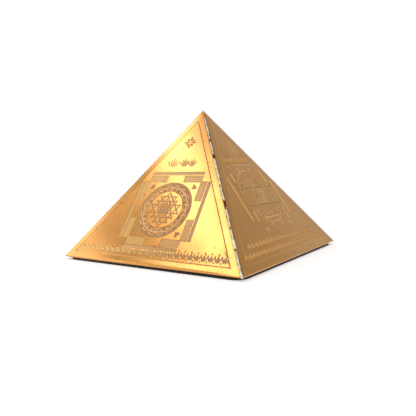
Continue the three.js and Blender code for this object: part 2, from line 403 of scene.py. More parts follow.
# Shares of a rosette's size
rosetteLook = {
    "dot": 0.13,
    "gap": 0.22,  # from the centre to a leaf's foot
    "lengths": (0.82, 0.6),  # in turn
    "leafWidth": 0.36,
}


def rosette(centre, size, count, level=1.0):
    marks = [mark(discShape(*centre, rosetteLook["dot"] * size), level)]
    for i in range(count):
        turn = 2 * math.pi * i / count
        length = rosetteLook["lengths"][i % 2] * size
        place = turned(centre, rosetteLook["gap"] * size + length / 2, turn)
        marks.append(mark(leafShape(*place, length, rosetteLook["leafWidth"] * size, turn), level))
    return marks


def wheelMarks(look):
    # Rings and rows of petals. Of a row, the petal is foot, width and height, the cores are
    # leaves in or between the petals, as share of a step, reach, length, width, turn, and the
    # foot is the rings that end it.
    centre = look["centre"]
    marks = [ringMark(centre, *ring) for ring in look["rings"]]
    for row in look["petalRows"]:
        step = 2 * math.pi / row["count"]
        for i in range(row["count"]):
            petal = archShape(*row["petal"], centre, (i + row["start"]) * step)
            marks.append(mark(petal, row["level"], row["line"]))
            for share, reach, length, width, across in row["cores"]:
                turn = (i + share) * step
                core = leafShape(*turned(centre, reach, turn), length, width, turn + across)
                marks.append(mark(core, row["coreLevel"]))
        marks += [ringMark(centre, *ring) for ring in row["foot"]]
    return marks


# Sheets

sheetLook = {
    "foldRadius": 0.38,  # outside of the bend along the foot
    "foldSteps": 8,
    "foldRow": 0.2,  # from the bend to the first row of points
    "lip": 6.0,
    "top": 84.6,  # where the sheet ends, up the slope
    "edgePitch": 2.2,
    "gridPitch": 1.1,
    "clearance": 0.3,  # from a mark to the nearest free point
    "outlineSlack": 0.05,  # by which a mark's outline may stray before it is left out
    "weld": 1e-4,
    "borderInset": 3.5,
    # How far the field stands above the sheet's left and right sides, and where it changes over
    "fieldRise": (0.15, -0.03),
    "riseSpan": (-25, 25),
    # How the lean of the foot strip ends above, sets in from the sides and sets in along it
    "leanStep": 0.25,
    "leanFade": 8.0,
    "leanSpan": (-25, -9),
    "waves": [(41, 0.4, 0.2), (29, 1.9, 1.3), (23, 2.8, 2.1), (17, 0.9, 4.0), (35, 2.3, 5.2)],
    "waveFade": 9.0,
    "rimFade": 5.0,
    "smoothAngle": 28,
}
mitreRun = build["mitre"] * math.sqrt(2)
foldStart = sheetLook["foldRadius"] * (1 + math.cos(slope)) / math.sin(slope)
slopeUp = Vector((0, math.cos(slope), math.sin(slope)))
slopeOut = Vector((0, -math.sin(slope), math.cos(slope)))
slopeOrigin = Vector((0, -halfBase, padHeight))


def sheetCorners(foot):
    def half(y):
        return halfBase - y * math.cos(slope) - mitreRun
    top = sheetLook["top"]
    return [(-half(foot), foot), (half(foot), foot), (half(top), top), (-half(top), top)]


def edgePoints(corners, pitch):
    points = []
    for start, end in zip(corners, corners[1:] + corners[:1]):
        start, end = np.array(start), np.array(end)
        count = max(1, round(np.linalg.norm(end - start) / pitch))
        points += [start + (end - start) * i / count for i in range(count)]
    return np.array(points)


def gridPoints(corners, marks, bevel, hold):
    pitch, clearance = sheetLook["gridPitch"], sheetLook["clearance"] + hold
    rows = []
    y, row = foldStart, 0
    while y < sheetLook["top"]:
        shift = pitch / 2 if row % 2 else 0
        x = np.arange(-halfBase + shift, halfBase, pitch)
        rows.append(np.stack([x, np.full(len(x), y)], 1))
        y += pitch * math.sqrt(3) / 2
        row += 1
    points = np.concatenate(rows)
    points = points[polygonShape(corners)[0](points) > pitch / 2]
    for item in marks:
        depth = item["depthAt"](points)
        width = item["line"] or bevel
        points = points[(depth < -clearance) | (depth > width + clearance)]
    # A row close above the fold keeps the smooth shading of the bend off the flat foot strip
    x = np.arange(corners[0][0] + pitch, corners[1][0] - pitch / 2, pitch)
    row = np.stack([x, np.full(len(x), foldStart + sheetLook["foldRow"])], 1)
    return np.concatenate([points, row])


def waveHeights(points, edge, waveHeight):
    total = np.zeros(len(points))
    for length, turn, start in sheetLook["waves"]:
        along = points[:, 0] * math.cos(turn) + points[:, 1] * math.sin(turn)
        total += np.sin(2 * np.pi * along / length + start)
    fade = np.clip((edge - sheetLook["borderInset"]) / sheetLook["waveFade"], 0, 1)
    return total * waveHeight * fade * fade * (3 - 2 * fade)


def footLean(x, y, fromSide, heights):
    # The strip below the border line leans back from the middle to the right. The line hides
    # the step at its upper end.
    low, high = foldStart + sheetLook["foldRow"], sheetLook["borderInset"]
    lean = np.interp(y, (low, high), heights)
    lean[(y < low - build["slack"]) | (y > high + sheetLook["leanStep"])] = 0
    fromCorner = np.clip((fromSide - high) / sheetLook["leanFade"], 0, 1)
    return lean * fromCorner * np.interp(x, sheetLook["leanSpan"], (0, 1))


def sheetLoops(corners, marks, bevel, hold):
    # The outlines that the sheet's triangles have to follow
    loops = [edgePoints(corners, sheetLook["edgePitch"])]
    for item in marks:
        for inset in markInsets(item, bevel, hold):
            loop = item["outlineAt"](inset)
            if item["depthAt"](loop).min() > inset - sheetLook["outlineSlack"]:
                loops.append(loop)
    return loops


def flatTriangles(loops, free):
    points, edges = [], []
    for loop in loops:
        first, count = len(points), len(loop)
        points += [Vector(p) for p in loop.tolist()]
        edges += [(first + i, first + (i + 1) % count) for i in range(count)]
    points += [Vector(p) for p in free.tolist()]
    flat, _, faces, *_ = delaunay_2d_cdt(points, edges, [], 0, sheetLook["weld"])
    return np.array([tuple(p) for p in flat]), faces


def makeSheet(name, marks, relief):
    corners = sheetCorners(foldStart)
    bevel, hold = relief["bevel"], relief["hold"]
    loops = sheetLoops(corners, marks, bevel, hold)
    flat, faces = flatTriangles(loops, gridPoints(corners, marks, bevel, hold))
    edge = polygonShape(corners)[0](flat)
    level = paintMarks(marks, flat, bevel)
    x, y = flat[:, 0], flat[:, 1]
    halfAcross = halfBase - mitreRun - y * math.cos(slope)
    fromSide = (halfAcross - np.abs(x)) * math.sin(sideLean)
    fieldRise = np.interp(x, sheetLook["riseSpan"], sheetLook["fieldRise"])
    height = waveHeights(flat, edge, relief["waveHeight"])
    height += np.clip(fromSide / sheetLook["borderInset"], 0, 1) * fieldRise
    height += np.clip(level, -1, 1) * relief["height"]
    height += footLean(x, y, fromSide, relief["footLean"])
    place = np.array(slopeOrigin) + x[:, None] * np.array([1, 0, 0])
    place = place + y[:, None] * np.array(slopeUp) + height[:, None] * np.array(slopeOut)

    piece = linkNew(name, bpy.data.meshes.new(name))
    piece.data.from_pydata((place * mm).tolist(), [], faces)
    etched = level if relief["height"] < 0 else 0 * level
    struck = level - etched
    rim = 1 - fromSide / sheetLook["rimFade"]
    # raised and sunk carry the struck relief's painted highlight and painted shade
    for label, values in (("etch", etched), ("dark", etched - 1), ("raisedHighlight", struck),
                          ("sunk", -struck), ("rim", rim)):
        addLayer(piece, label, np.clip(values, 0, 1).astype(np.float32))
    print("  relief of", name, len(flat), "points,", len(marks), "marks")
    return foldFoot(closeBack(piece))


def clampToMitre(piece):
    # Nothing of a sheet reaches past the upright planes beside its two corners
    for point in piece.data.vertices:
        limit = -point.co.y - mitreRun * mm
        point.co.x = max(-limit, min(limit, point.co.x))


def closeBack(piece):
    makeActive(piece)
    bpy.ops.object.mode_set(mode="EDIT")
    bpy.ops.mesh.select_mode(type="EDGE")
    bpy.ops.mesh.select_all(action="DESELECT")
    bpy.ops.mesh.select_non_manifold(extend=False)
    inward = tuple(-slopeOut * build["wall"] * mm)
    bpy.ops.mesh.extrude_region_move(TRANSFORM_OT_translate={"value": inward})
    bpy.ops.mesh.edge_face_add()
    closeEdit()
    clampToMitre(piece)
    return piece


def foldFoot(piece):
    # The sheet's lower end is bent inward round a small radius and drawn out to a flat lip
    start = slopeOrigin + slopeUp * foldStart
    centre = (start - slopeOut * sheetLook["foldRadius"]) * mm
    footEnd = (start * mm).dot(slopeUp) + build["slack"] * mm

    def isFootEnd(middle, normal):
        return normal.dot(slopeUp) < -build["aligned"] and middle.dot(slopeUp) < footEnd
    outward(piece)
    pick(piece, "FACE", isFootEnd)
    bpy.ops.mesh.spin(steps=sheetLook["foldSteps"], angle=math.pi - slope,
                      center=centre, axis=(-1, 0, 0))
    lipEnd = (-halfBase + sheetLook["lip"]) * mm
    bpy.ops.mesh.extrude_region_move(TRANSFORM_OT_translate={"value": (0, lipEnd - centre.y, 0)})
    closeEdit()
    clampToMitre(piece)
    outward(piece)
    smoothBelow(sheetLook["smoothAngle"])
    return piece


# The etched yantra: enclosure with solid rails, three rims, two lotus rings, nine triangles

etchedLook = {
    "centre": (0.4, 28.2),
    "rail": (14.5, 18.35),
    "railLevel": 1.1,
    "railRidges": [(15.3, 0.36), (16.3, 0.4), (17.35, 0.34)],  # where they lie, how high
    "ridgeLevel": 0.3,
    "railEnd": 15.2,
    "door": 4.65,
    "bar": (18.6, 20.45),
    "barEnd": 15.1,
    "barLevel": 1.25,
    "darkest": 1.55,
    # The rim with its two ridges and the dark ground of the lotus: radius, width, level
    "rings": [(14.5, 1.3, 1.35), (14.1, 0.2, 0.1), (13.62, 0.2, 0.1), (13.25, 3.85, 1.85)],
    "petalRows": [
        {"count": 16, "start": 0.5, "petal": (11.3, 4.5, 1.75), "level": 0.7, "line": 0.58,
         "cores": [(0.0, 12.0, 1.15, 0.5, 0), (0.5, 12.3, 0.85, 0.5, 0)], "coreLevel": 0.0,
         "foot": [(11.35, 0.28, 0.7)]},
        {"count": 8, "start": 0, "petal": (9.65, 7.0, 1.62), "level": 0.7, "line": 0.58,
         "cores": [(0.0, 10.35, 2.6, 0.5, math.pi / 2)], "coreLevel": 0.0,
         "foot": [(9.78, 0.26, 0.0)]},
    ],
    "figure": 9.4,
    "figureLine": 0.72,
    "figureLevel": 1.5,
    "point": 0.5,
    "budLeaves": [(0, 16.8, 3.0, 1.5), (0.5, 17.1, 2.6, 1.1), (-0.5, 17.1, 2.6, 1.1)],
    "budSpread": 0.9,
    "borderLine": 0.55,
    # The border line is weaker along the foot, as left, right, level
    "footLine": [(-42.0, 2.0, 0.55), (2.0, 42.0, 0.8)],
    "sideLine": (2.05, 0.26, 6.0, 76.0),  # inset, width, low and high end
    "band": (6.5, 3.35, 3.7, 42.0, 0.8),  # height, pitch, size, reach, level at the left
    "title": [(-4.9, 51.0, 6.4, 5.8), (1.7, 51.0, 5.2, 5.8), (6.3, 51.2, 4.6, 5.2)],
    "titleLevel": 1.1,
    "crest": ((0.3, 65.8), 3.6, 8),  # centre, size, petals
    "relief": {"bevel": 0.11, "hold": 0, "height": -0.17, "waveHeight": 0.008,
               "footLean": (0.09, -0.12)},
}

# The nine triangles in parts of the circle's diameter: base from the top, half the base, tip
# from the top. None as half a base means that it runs from rim to rim.
triangleParts = 48
nineTriangles = [
    (6, 13.0, 27), (12, 15.8, 42), (17, None, 48), (20, 7.8, 36), (23, 5.8, 30),
    (27, 7.9, 12), (30, None, 0), (36, 16.7, 6), (42, 11.7, 17),
]


def figureMarks(look):
    x, y = look["centre"]
    radius = look["figure"]
    halfParts = triangleParts / 2
    marks = []
    for base, half, tip in nineTriangles:
        baseY, tipY = (y + radius * (1 - level / halfParts) for level in (base, tip))
        if half is None:
            reach = math.sqrt(radius ** 2 - (baseY - y) ** 2)
        else:
            reach = half * radius / halfParts
        corners = [(x - reach, baseY), (x + reach, baseY), (x, tipY)]
        if tipY < baseY:
            corners.reverse()
        marks.append(mark(polygonShape(corners), look["figureLevel"], look["figureLine"]))
    return marks + [mark(discShape(x, y, look["point"]), look["darkest"])]


def enclosureMarks(look):
    marks = []
    centre, end, door = look["centre"], look["railEnd"], look["door"]
    low, high = look["rail"]
    barLow, barHigh = look["bar"]

    def add(quarter, left, low, right, high, level):
        marks.append(mark(boxShape(left, low, right, high, quarter, centre), level))
    for quarter in range(4):
        for side in (-1, 1):
            left, right = sorted((side * end, side * door))
            add(quarter, left, low, right, high, look["railLevel"])
            for ridgeY, width in look["railRidges"]:
                add(quarter, left + width, ridgeY, right - width, ridgeY + width, look["ridgeLevel"])
        add(quarter, -look["barEnd"], barLow, look["barEnd"], barHigh, look["barLevel"])
    return marks


def budMarks(look):
    # A bud in each corner of the enclosure, with two side leaves
    marks = []
    for i in range(4):
        turn = math.pi / 4 + i * math.pi / 2
        for lean, reach, length, width in look["budLeaves"]:
            side = look["budSpread"] * math.copysign(1, lean) if lean else 0
            x, y = turned(look["centre"], reach, turn)
            leaf = leafShape(x + math.cos(turn) * side, y + math.sin(turn) * side,
                             length, width, turn + math.pi - lean)
            marks.append(mark(leaf, look["darkest"]))
    return marks


def etchedMarks(look):
    low, width = sheetLook["borderInset"], look["borderLine"]
    marks = [leftLine(*look["sideLine"]), borderMark(low, width, look["darkest"])]
    for left, right, level in look["footLine"]:
        marks.append(mark(boxShape(left, low, right, low + width), level))
    marks += enclosureMarks(look) + wheelMarks(look) + figureMarks(look) + budMarks(look)
    marks += flowerRow(*look["band"], look["darkest"])
    for leaves in look["title"]:
        marks += palmette(*leaves, look["titleLevel"])
    return marks + rosette(*look["crest"], look["darkest"])


# The struck yantra: loose rails, two rings with sixteen petals between them, a leaning frame
# with a ladder of bars in it, and leaves all round

struckLook = {
    "centre": (0.8, 33.6),
    "border": (0.9, 0.25),  # width, level
    "rings": [(15.0, 1.1, 0.7, 64), (9.6, 0.8, 0.7, 64)],  # radius, width, level, steps
    "petalRows": [
        {"count": 16, "start": 0.5, "petal": (9.8, 3.5, 4.2), "level": 0.9, "line": 0.8,
         "cores": [(0.0, 13.0, 2.4, 0.9, 0)], "coreLevel": 1.0, "foot": []},
    ],
    # Upright rails, as left, low, right, high
    "rails": [(-18.6, 21.5, -17.0, 45.0), (-14.2, 20.6, -12.4, 26.5), (-13.6, 41.5, -12.0, 47.0),
              (15.2, 41.0, 16.9, 48.6), (15.4, 19.8, 17.3, 27.0), (19.8, 21.6, 21.7, 41.8)],
    "railRidge": (0.5, 0.5, 0.4),  # width, distance from the rail's ends, level
    # The leaning frame round the ladder of bars
    "frameLow": 28.7,
    "frameHigh": 38.4,
    "frameLean": 0.62,  # sideways for every millimetre up
    "frameLeft": -7.0,  # at its lower end
    "frameRight": 4.6,
    "frameLine": 1.1,
    "overrun": 4.2,  # of its left side past the top
    "grooves": (-14.5, 18.0),
    "grooveHalf": 0.35,
    # A level below 0 paints shade into the grooves
    "grooveLevel": -0.8,
    "bars": 6,
    "barWidth": 0.86,
    "barGap": 0.8,  # between the outer bars' room and the grooves
    "barEnds": (1.8, 0.7),  # from the frame's left and right side, in its line widths
    "footBar": (-6.5, 21.3, 8.2, 22.5),
    "headBar": (-9.5, 51.2, 12.0, 52.1),
    # Leaves outside the enclosure, as x, y, length, width, turn
    "leaves": [(-3.2, 18.6, 3.2, 1.9, 0.2), (2.0, 18.9, 3.0, 1.5, -0.3), (7.0, 18.6, 3.6, 2.0, -0.2),
               (-10.2, 16.4, 3.6, 2.0, 0.1), (14.6, 17.0, 2.8, 2.0, 0.6), (-3.6, 48.7, 3.4, 2.2, 0.4),
               (1.6, 48.4, 3.0, 1.4, 1.3), (6.4, 48.8, 3.6, 2.0, -0.5), (-10.8, 50.4, 2.8, 1.3, 1.0),
               (13.8, 50.9, 3.0, 1.6, 0.7)],
    "bandPitch": 3.3,
    "bandSize": 3.5,
    "bands": [(7.2, 40.0), (11.2, 34.0), (54.7, 11.0)],  # height and reach, the title last
    "crest": ((5.0, 61.4), 5.0, 6),
    "relief": {"bevel": 0.34, "hold": 0.3, "height": 0.18, "waveHeight": 0.03,
               "footLean": (0, 0)},
}


def ladderMarks(look):
    # A leaning frame with level bars in it, between two level grooves
    low, high, line = look["frameLow"], look["frameHigh"], look["frameLine"]

    def leaning(left, right, start, end):
        lowShift, highShift = (look["frameLean"] * (y - low) for y in (start, end))
        return mark(polygonShape([(left + lowShift, start), (right + lowShift, start),
                                  (right + highShift, end), (left + highShift, end)]))
    marks = []
    left, right = look["grooves"]
    half = look["grooveHalf"]
    for y in (low, high):
        marks.append(mark(boxShape(left, y - half, right, y + half), look["grooveLevel"]))
    for x, end in ((look["frameLeft"], high + look["overrun"]), (look["frameRight"], high)):
        marks.append(leaning(x, x + line, low, end))
    left = look["frameLeft"] + look["barEnds"][0] * line
    right = look["frameRight"] - look["barEnds"][1] * line
    pitch = (high - low - 2 * look["barGap"]) / look["bars"]
    half = look["barWidth"] / 2
    for i in range(look["bars"]):
        barY = low + look["barGap"] + (i + 0.5) * pitch
        marks.append(leaning(left, right, barY - half, barY + half))
    return marks


def railMarks(look):
    # Each rail carries a ridge along its middle
    width, fromEnd, level = look["railRidge"]
    marks = []
    for left, low, right, high in look["rails"]:
        middle = (left + right) / 2
        ridge = boxShape(middle - width / 2, low + fromEnd, middle + width / 2, high - fromEnd)
        marks += [mark(boxShape(left, low, right, high)), mark(ridge, level)]
    return marks


def struckMarks(look):
    marks = [borderMark(sheetLook["borderInset"], *look["border"])]
    marks += railMarks(look) + wheelMarks(look) + ladderMarks(look)
    marks += [mark(boxShape(*look[key])) for key in ("footBar", "headBar")]
    marks += [mark(leafShape(*leaf)) for leaf in look["leaves"]]
    for height, reach in look["bands"]:
        marks += flowerRow(height, look["bandPitch"], look["bandSize"], reach, dense=False)
    return marks + rosette(*look["crest"])


frontSheet = makeSheet("copperFront", etchedMarks(etchedLook), etchedLook["relief"])
leftSheet = makeSheet("copperStruck", struckMarks(struckLook), struckLook["relief"])
backSheet = turnedCopy(frontSheet, "copperBack", 2)
rightSheet = turnedCopy(leftSheet, "copperRight", 1)
turnQuarters(leftSheet, -1)
leftSheet.name = leftSheet.data.name = "copperLeft"
print("sheets made")


# Solder along the corners

seamLook = {
    "radius": 0.5,  # at the foot
    "topRadius": 0.42,
    "widen": 1.1,  # the bead is wider than it is deep
    "sunk": 0.67,  # how far the bead's middle lies behind the corner's line
    "sides": 12,
    "rings": 96,
    "longEdge": 10,  # edges longer than this run along the bead
    "lumps": [(3.1, 0.16), (1.0, 0.1)],  # size of the clouds, how far they push
    "lumpMiddle": 0.55,
    "below": 2,  # it starts this far below the foot and is then cut off there
    "footGap": 0.05,
    "topLength": 98.8,
    "smoothAngle": 50,
}


def addLumps(piece, name, size, push):
    clouds = bpy.data.textures.new(name, "CLOUDS")
    clouds.noise_scale = size * mm
    lumps = piece.modifiers.new("lumps", "DISPLACE")
    lumps.texture = clouds
    lumps.texture_coords = "LOCAL"
    lumps.strength = 2 * push * mm
    return lumps


def makeSeam(name, quarterTurns, shift, lumpShare, fleckShare):
    look = seamLook
    length = look["topLength"] + look["below"]
    middle = footCorner + cornerLine * (length / 2 - look["below"])
    middle = middle + cornerInward * look["sunk"] + cornerAcross * shift
    turn = Matrix((cornerAcross, cornerInward, cornerLine)).transposed().to_euler()
    clearSelection()
    piece = makeNamed(name, bpy.ops.mesh.primitive_cone_add, vertices=look["sides"],
                      radius1=look["radius"] * mm, radius2=look["topRadius"] * mm,
                      depth=length * mm, location=middle * mm, rotation=turn)
    piece.scale.x = look["widen"]
    applyPlace(piece)

    def isLong(start, end):
        return (end - start).length > look["longEdge"] * mm

    def runsAlong(start, end):
        return abs((end - start).normalized().dot(cornerLine)) > build["aligned"]
    editPicked(piece, "EDGE", isLong, bpy.ops.mesh.subdivide, number_cuts=look["rings"])
    editPicked(piece, "EDGE", runsAlong, bpy.ops.mesh.subdivide, number_cuts=1)
    for number, (size, push) in enumerate(look["lumps"]):
        lumps = addLumps(piece, f"{name}Lumps{number}", size, push * lumpShare)
        lumps.mid_level = look["lumpMiddle"]
        lumps.texture.noise_depth = 1
    applyModifiers(piece)
    editPicked(piece, "FACE", everything, bpy.ops.mesh.bisect, plane_no=(0, 0, 1),
               plane_co=(0, 0, (padHeight + look["footGap"]) * mm), use_fill=True, clear_inner=True)
    smoothBelow(look["smoothAngle"])
    addLayer(piece, "flecks", [fleckShare] * len(piece.data.vertices))
    return turnQuarters(piece, quarterTurns)


seams = {
    "front_right_seam": makeSeam("seamFrontRight", 0, 0.06, 1.0, 1.0),
    "back_right_seam": makeSeam("seamBackRight", 1, 0.0, 0.35, 0.3),
    "back_left_seam": makeSeam("seamBackLeft", 2, 0.05, 0.8, 1.0),
    "front_left_seam": makeSeam("seamFrontLeft", 3, 0.0, 0.35, 0.0),
}
print("seams made")


# Tip

tipLook = {
    "low": 1.6,  # below the planes' common point
    "high": 0.3,
    "lowRadius": 1.25,
    "highRadius": 0.28,
    "sides": 16,
    # The upper face is drawn in and up before all is rounded
    "topInset": 0.12,
    "topLift": 0.06,
    "roundLevels": 3,
    "lumps": (0.8, 0.1),
}


def makeTip():
    clearSelection()
    height = tipLook["low"] - tipLook["high"]
    middleZ = tipHeight - tipLook["low"] + height / 2
    piece = makeNamed("solderTip", bpy.ops.mesh.primitive_cone_add, vertices=tipLook["sides"],
                      radius1=tipLook["lowRadius"] * mm, radius2=tipLook["highRadius"] * mm,
                      depth=height * mm, location=(0, 0, middleZ * mm))
    applyPlace(piece)
    pick(piece, "FACE", lambda middle, normal: normal.z > build["aligned"])
    bpy.ops.mesh.inset(thickness=tipLook["topInset"] * mm)
    bpy.ops.transform.translate(value=(0, 0, tipLook["topLift"] * mm))
    closeEdit()
    subdivision = piece.modifiers.new("round", "SUBSURF")
    subdivision.levels = subdivision.render_levels = tipLook["roundLevels"]
    addLumps(piece, "tipLumps", *tipLook["lumps"])
    applyModifiers(piece)
    makeActive(piece)
    bpy.ops.object.shade_smooth()
    return piece


tip = makeTip()
print("tip made")


# Felt pad under the lips

padLook = {
    "inset": 1.2,
    "corner": (6.0, 8),  # radius, steps
    "rim": (0.25, 3),
    "smoothAngle": 35,
}


def makePad():
    clearSelection()
    side, middleZ = 2 * (halfBase - padLook["inset"]) * mm, padHeight / 2 * mm
    piece = makeNamed("feltPad", bpy.ops.mesh.primitive_cube_add, size=1, location=(0, 0, middleZ))
    piece.scale = (side, side, padHeight * mm)
    applyPlace(piece)

    def isUpright(start, end):
        return abs(end.z - start.z) > middleZ

    def isTopRim(start, end):
        return abs(end.z - start.z) < build["slack"] * mm and start.z > middleZ
    for wanted, (radius, steps) in ((isUpright, padLook["corner"]), (isTopRim, padLook["rim"])):
        editPicked(piece, "EDGE", wanted, bpy.ops.mesh.bevel, offset=radius * mm, segments=steps)
    smoothBelow(padLook["smoothAngle"])
    return piece


pad = makePad()
print("pad made")


# Materials


def newMaterial(name):
    material = bpy.data.materials.new(name)
    material.use_nodes = True
    return material, material.node_tree, material.node_tree.nodes["Principled BSDF"]


def setInputs(tree, node, values):
    # A value is a constant or the socket that feeds the input
    for key, value in values.items():
        if isinstance(value, bpy.types.NodeSocket):
            tree.links.new(value, node.inputs[key])
        else:
            node.inputs[key].default_value = value


def addNode(tree, kind, values=None, **settings):
    node = tree.nodes.new(kind)
    for key, value in settings.items():
        setattr(node, key, value)
    setInputs(tree, node, values or {})
    return node


def addMath(tree, operation, *values, clamp=False):
    inputs = dict(enumerate(values))
    return addNode(tree, "ShaderNodeMath", inputs, operation=operation, use_clamp=clamp).outputs[0]


def mixColour(tree, share, first, second, blend="MIX"):
    return addNode(tree, "ShaderNodeMix", {0: share, 6: first, 7: second},
                   data_type="RGBA", blend_type=blend).outputs[2]


def noiseValue(tree, place, scale, detail=3.0, roughness=0.5):
    return addNode(tree, "ShaderNodeTexNoise", {"Vector": place, "Scale": scale, "Detail": detail,
                                                "Roughness": roughness}).outputs["Fac"]


def spread(tree, value, low, high, toLow=0.0, toHigh=1.0):
    return addNode(tree, "ShaderNodeMapRange", {"Value": value, "From Min": low, "From Max": high,
                                                "To Min": toLow, "To Max": toHigh}).outputs["Result"]


def objectPlace(tree):
    return addNode(tree, "ShaderNodeTexCoord").outputs["Object"]


def attribute(tree, name):
    return addNode(tree, "ShaderNodeAttribute", attribute_name=name).outputs["Fac"]


def addBump(tree, shader, height, strength, distance):
    values = {"Height": height, "Strength": strength, "Distance": distance * mm}
    bump = addNode(tree, "ShaderNodeBump", values)
    tree.links.new(bump.outputs["Normal"], shader.inputs["Normal"])


def newGroup(name, inputs, outputs):
    # Place is a vector, every other socket a number
    group = bpy.data.node_groups.new(name, "ShaderNodeTree")
    for inOut, labels in (("INPUT", inputs), ("OUTPUT", outputs)):
        for label in labels:
            kind = "NodeSocketVector" if label == "Place" else "NodeSocketFloat"
            group.interface.new_socket(label, in_out=inOut, socket_type=kind)
    given = group.nodes.new("NodeGroupInput").outputs
    return group, given, group.nodes.new("NodeGroupOutput").inputs


def useGroup(tree, group, **values):
    return addNode(tree, "ShaderNodeGroup", values, node_tree=group).outputs


mottleLook = {
    "cloudDetail": 4.0,
    "grainDetail": 2.0,
    "finer": 14.0,  # how many times finer the grain is than the clouds
}


def makeMottleGroup():
    # Soft clouds with fine grain in them, for tarnish and handling
    group, given, result = newGroup("mottle", ["Place", "Scale", "Contrast"], ["Clouds", "Grain"])
    clouds = noiseValue(group, given["Place"], given["Scale"], mottleLook["cloudDetail"])
    finer = addMath(group, "MULTIPLY", given["Scale"], mottleLook["finer"])
    grain = noiseValue(group, given["Place"], finer, mottleLook["grainDetail"])
    for label, value in (("Clouds", clouds), ("Grain", grain)):
        centred = addMath(group, "SUBTRACT", value, 0.5)
        scaled = addMath(group, "MULTIPLY_ADD", centred, given["Contrast"], 0.5, clamp=True)
        group.links.new(scaled, result[label])
    return group


speckEdge = (0.12, 0.3)  # distances from a cell's middle at which a speck fades out


def makeSpeckGroup():
    # Scattered small spots, more of them where Amount is high
    group, given, result = newGroup("specks", ["Place", "Scale", "Amount"], ["Mask"])
    inputs = {"Vector": given["Place"], "Scale": given["Scale"]}
    cells = addNode(group, "ShaderNodeTexVoronoi", inputs).outputs
    near = spread(group, cells["Distance"], *speckEdge, 1.0, 0.0)
    chance = addNode(group, "ShaderNodeSeparateColor", {"Color": cells["Color"]}).outputs[0]
    chosen = addMath(group, "LESS_THAN", chance, given["Amount"])
    group.links.new(addMath(group, "MULTIPLY", near, chosen), result["Mask"])
    return group


mottle, specks = makeMottleGroup(), makeSpeckGroup()


copperLook = {
    "field": linear(216, 153, 80),
    "warm": linear(214, 147, 73),
    "etched": linear(188, 149, 96),
    # Painted light: the etched ground is painted lighter towards the left and darker towards the
    # right, as light falls across it: factors there and at the right
    "paintedLitLeft": (1.3, 1.38, 1.25, 1),
    "paintedShadedRight": (0.92, 0.94, 0.98, 1),
    "paintedSideLight": (-22 * mm, 18 * mm),
    "darkest": linear(134, 86, 58),
    # Painted highlight on the struck relief's raised parts, painted shade in its sunk grooves
    "raisedHighlight": linear(248, 188, 112),
    "sunk": linear(128, 84, 46),
    "tarnish": linear(160, 92, 46),
    "roughness": (0.14, 0.23),
    "etchedRoughness": 0.55,
    "clouds": {"Scale": 55.0, "Contrast": 2.2},
    "specks": {"Scale": 330.0, "Amount": 0.06},
    "speckShare": 0.55,
    # Stains along a sheet's slanted sides
    "stain": 0.25,
    "stainScale": 260.0,
    "stainRoughness": 0.55,
    "stainClouds": (0.5, 0.75),
    "seamStrip": 0.4,  # how far a narrow strip beside the solder, towards the right, turns to the tarnish colour
    "seamStripRim": (0.84, 0.95),
    "bump": (0.03, 0.1),  # strength, distance
    "shader": {"Metallic": 1.0, "Coat Weight": 0.4, "Coat Roughness": 0.16},
}


def copperColour(tree, place, clouds):
    look = copperLook
    field = mixColour(tree, clouds, look["field"], look["warm"])
    # Painted highlight on raised struck relief, painted shade in sunk struck grooves
    field = mixColour(tree, attribute(tree, "raisedHighlight"), field, look["raisedHighlight"])
    field = mixColour(tree, attribute(tree, "sunk"), field, look["sunk"])
    # Painted light across the etched ground: lighter at the left, darker at the right
    sideways = addNode(tree, "ShaderNodeSeparateXYZ", {"Vector": place}).outputs["X"]
    rightward = spread(tree, sideways, *look["paintedSideLight"])
    paintedSideLight = mixColour(tree, rightward, look["paintedLitLeft"], look["paintedShadedRight"])
    ground = mixColour(tree, attribute(tree, "dark"), look["etched"], look["darkest"])
    ground = mixColour(tree, 1.0, ground, paintedSideLight, "MULTIPLY")
    etchedWithPaintedLight = mixColour(tree, attribute(tree, "etch"), field, ground)

    rim = attribute(tree, "rim")
    edgeClouds = noiseValue(tree, place, look["stainScale"], roughness=look["stainRoughness"])
    stain = addMath(tree, "MULTIPLY", spread(tree, edgeClouds, *look["stainClouds"]), rim)
    stain = addMath(tree, "MULTIPLY", stain, look["stain"])
    stained = mixColour(tree, stain, etchedWithPaintedLight, look["tarnish"])
    # A narrow strip beside the solder darkens towards the tarnish colour, towards the right only
    seamStrip = addMath(tree, "MULTIPLY", spread(tree, rim, *look["seamStripRim"]), rightward)
    seamStrip = addMath(tree, "MULTIPLY", seamStrip, look["seamStrip"])
    stained = mixColour(tree, seamStrip, stained, look["tarnish"])
    spots = useGroup(tree, specks, Place=place, **look["specks"])["Mask"]
    return mixColour(tree, spread(tree, spots, 0, 1, 0, look["speckShare"]), stained, look["tarnish"])


def makeCopper():
    look = copperLook
    material, tree, shader = newMaterial("goldCopper")
    place = objectPlace(tree)
    mottled = useGroup(tree, mottle, Place=place, **look["clouds"])
    smooth = spread(tree, mottled["Clouds"], 0, 1, *look["roughness"])
    rough = {0: attribute(tree, "etch"), 2: smooth, 3: look["etchedRoughness"]}
    rough = addNode(tree, "ShaderNodeMix", rough, data_type="FLOAT").outputs[0]
    setInputs(tree, shader, {"Base Color": copperColour(tree, place, mottled["Clouds"]),
                             "Roughness": rough, **look["shader"]})
    addBump(tree, shader, mottled["Grain"], *look["bump"])
    return material


solderLook = {
    "tin": linear(252, 244, 226),
    "dull": linear(182, 176, 148),
    "copper": linear(104, 44, 34),
    "lacquered": linear(222, 150, 78),
    # Heights between which the lacquer sets in and ends again below the tip
    "lacquerLow": (65.5 * mm, 68.5 * mm),
    "lacquerHigh": (70.3 * mm, 70.9 * mm),
    "roughness": (0.3, 0.55),
    "clouds": {"Scale": 420.0, "Contrast": 2.6},
    # Where the bead gives way to red copper: scale, detail and roughness of a noise
    "breakNoise": (150.0, 2.5, 0.55),
    "breaks": (0.55, 0.6),  # and the share of it at which that happens
    "bump": (0.3, 0.1),
}


